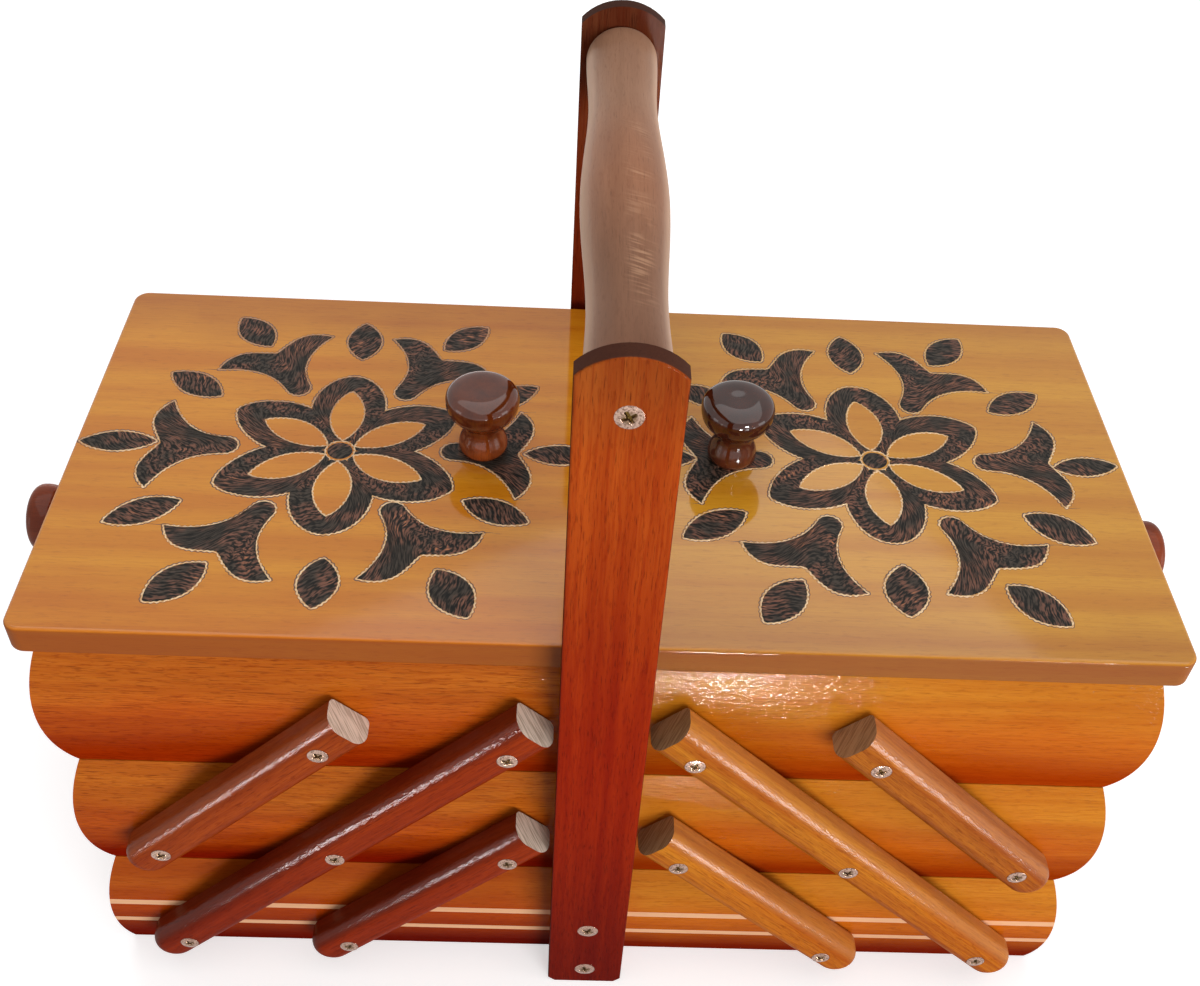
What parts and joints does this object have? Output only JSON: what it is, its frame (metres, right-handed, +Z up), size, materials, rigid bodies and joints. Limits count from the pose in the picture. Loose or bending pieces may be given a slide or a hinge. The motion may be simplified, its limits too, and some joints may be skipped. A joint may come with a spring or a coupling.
{
  "type": "sewing box",
  "caption": "Wooden cantilever sewing box with swelled tiers that unfold on slanting arms, two hinged lids with turned knobs, and a turned grip between two tall posts.",
  "frame": {"origin": "middle of the footprint, on the floor", "axes": "+X to the right along the box's length, +Y from the front to the back, +Z up"},
  "size_m": [0.4292, 0.203, 0.3255],
  "materials": {
    "lid_wood": "glossy honey lacquer, with a burnt ornament",
    "tray_wood": "glossy amber to red-brown lacquer",
    "bottom_wood": "satin plywood",
    "arm_wood": "glossy red-brown lacquer",
    "post_wood": "glossy mahogany lacquer",
    "spacer_wood": "satin lacquer",
    "grip_wood": "worn, matt",
    "knob_wood": "glossy dark lacquer",
    "end_knob_wood": "glossy red-brown lacquer",
    "inlay_wood": "satin, pale",
    "screw_steel": "zinc plated",
    "hinge_brass": "satin"
  },
  "bodies": {
    "base": {"base_front_wall": "tray_wood", "base_back_wall": "tray_wood", "base_left_wall": "tray_wood", "base_right_wall": "tray_wood", "base_bottom": "bottom_wood", "base_inlay": "inlay_wood", "base_pivot_screws": "screw_steel", "front_post": "post_wood", "back_post": "post_wood", "post_spacers": "spacer_wood", "handle_screws": "screw_steel", "handle_grip": "grip_wood"},
    "left_long_arms": {"left_front_long_arm": "arm_wood", "left_back_long_arm": "arm_wood"},
    "left_middle_tray": {"left_middle_front_wall": "tray_wood", "left_middle_back_wall": "tray_wood", "left_middle_outer_wall": "tray_wood", "left_middle_inner_wall": "tray_wood", "left_middle_bottom": "bottom_wood", "left_middle_pivot_screws": "screw_steel"},
    "left_top_tray": {"left_top_front_wall": "tray_wood", "left_top_back_wall": "tray_wood", "left_top_outer_wall": "tray_wood", "left_top_inner_wall": "tray_wood", "left_top_bottom": "bottom_wood", "left_top_pivot_screws": "screw_steel", "left_end_knob": "end_knob_wood", "left_hinge_tray_leaves": "hinge_brass", "left_hinge_pins": "hinge_brass"},
    "left_lower_arms": {"left_front_lower_arm": "arm_wood", "left_back_lower_arm": "arm_wood"},
    "left_upper_arms": {"left_front_upper_arm": "arm_wood", "left_back_upper_arm": "arm_wood"},
    "left_lid_leaf": {"left_lid": "lid_wood", "left_lid_knob": "knob_wood", "left_hinge_lid_leaves": "hinge_brass"},
    "right_long_arms": {"right_front_long_arm": "arm_wood", "right_back_long_arm": "arm_wood"},
    "right_middle_tray": {"right_middle_front_wall": "tray_wood", "right_middle_back_wall": "tray_wood", "right_middle_outer_wall": "tray_wood", "right_middle_inner_wall": "tray_wood", "right_middle_bottom": "bottom_wood", "right_middle_pivot_screws": "screw_steel"},
    "right_top_tray": {"right_top_front_wall": "tray_wood", "right_top_back_wall": "tray_wood", "right_top_outer_wall": "tray_wood", "right_top_inner_wall": "tray_wood", "right_top_bottom": "bottom_wood", "right_top_pivot_screws": "screw_steel", "right_end_knob": "end_knob_wood", "right_hinge_tray_leaves": "hinge_brass", "right_hinge_pins": "hinge_brass"},
    "right_lower_arms": {"right_front_lower_arm": "arm_wood", "right_back_lower_arm": "arm_wood"},
    "right_upper_arms": {"right_front_upper_arm": "arm_wood", "right_back_upper_arm": "arm_wood"},
    "right_lid_leaf": {"right_lid": "lid_wood", "right_lid_knob": "knob_wood", "right_hinge_lid_leaves": "hinge_brass"}
  },
  "joints": [
    {"name": "left_unfold", "type": "hinge", "parent": "base", "child": "left_long_arms", "pos_m": [-0.15625, 0, 0.025], "axis": [0, -1, 0], "range_deg": [0, 88]},
    {"name": "left_middle_tray_pivot", "type": "hinge", "parent": "left_long_arms", "child": "left_middle_tray", "pos_m": [-0.09375, 0, 0.0895], "axis": [0, -1, 0], "range_deg": [-88, 0]},
    {"name": "left_top_tray_pivot", "type": "hinge", "parent": "left_long_arms", "child": "left_top_tray", "pos_m": [-0.03125, 0, 0.154], "axis": [0, -1, 0], "range_deg": [-88, 0]},
    {"name": "left_lower_arms_pivot", "type": "hinge", "parent": "base", "child": "left_lower_arms", "pos_m": [-0.09375, 0, 0.025], "axis": [0, -1, 0], "range_deg": [0, 88]},
    {"name": "left_upper_arms_pivot", "type": "hinge", "parent": "left_middle_tray", "child": "left_upper_arms", "pos_m": [-0.15625, 0, 0.0895], "axis": [0, -1, 0], "range_deg": [0, 88]},
    {"name": "left_lid_hinge", "type": "hinge", "parent": "left_top_tray", "child": "left_lid_leaf", "pos_m": [-0.1862, 0, 0.186], "axis": [0, -1, 0], "range_deg": [0, 105]},
    {"name": "right_unfold", "type": "hinge", "parent": "base", "child": "right_long_arms", "pos_m": [0.15625, 0, 0.025], "axis": [0, 1, 0], "range_deg": [0, 88]},
    {"name": "right_middle_tray_pivot", "type": "hinge", "parent": "right_long_arms", "child": "right_middle_tray", "pos_m": [0.09375, 0, 0.0895], "axis": [0, 1, 0], "range_deg": [-88, 0]},
    {"name": "right_top_tray_pivot", "type": "hinge", "parent": "right_long_arms", "child": "right_top_tray", "pos_m": [0.03125, 0, 0.154], "axis": [0, 1, 0], "range_deg": [-88, 0]},
    {"name": "right_lower_arms_pivot", "type": "hinge", "parent": "base", "child": "right_lower_arms", "pos_m": [0.09375, 0, 0.025], "axis": [0, 1, 0], "range_deg": [0, 88]},
    {"name": "right_upper_arms_pivot", "type": "hinge", "parent": "right_middle_tray", "child": "right_upper_arms", "pos_m": [0.15625, 0, 0.0895], "axis": [0, 1, 0], "range_deg": [0, 88]},
    {"name": "right_lid_hinge", "type": "hinge", "parent": "right_top_tray", "child": "right_lid_leaf", "pos_m": [0.1862, 0, 0.186], "axis": [0, 1, 0], "range_deg": [0, 105]}
  ],
  "couplings": [
    {"joint": "left_middle_tray_pivot", "follows": "left_unfold", "ratio": -1},
    {"joint": "left_top_tray_pivot", "follows": "left_unfold", "ratio": -1},
    {"joint": "left_lower_arms_pivot", "follows": "left_unfold", "ratio": 1},
    {"joint": "left_upper_arms_pivot", "follows": "left_unfold", "ratio": 1},
    {"joint": "right_middle_tray_pivot", "follows": "right_unfold", "ratio": -1},
    {"joint": "right_top_tray_pivot", "follows": "right_unfold", "ratio": -1},
    {"joint": "right_lower_arms_pivot", "follows": "right_unfold", "ratio": 1},
    {"joint": "right_upper_arms_pivot", "follows": "right_unfold", "ratio": 1}
  ]
}
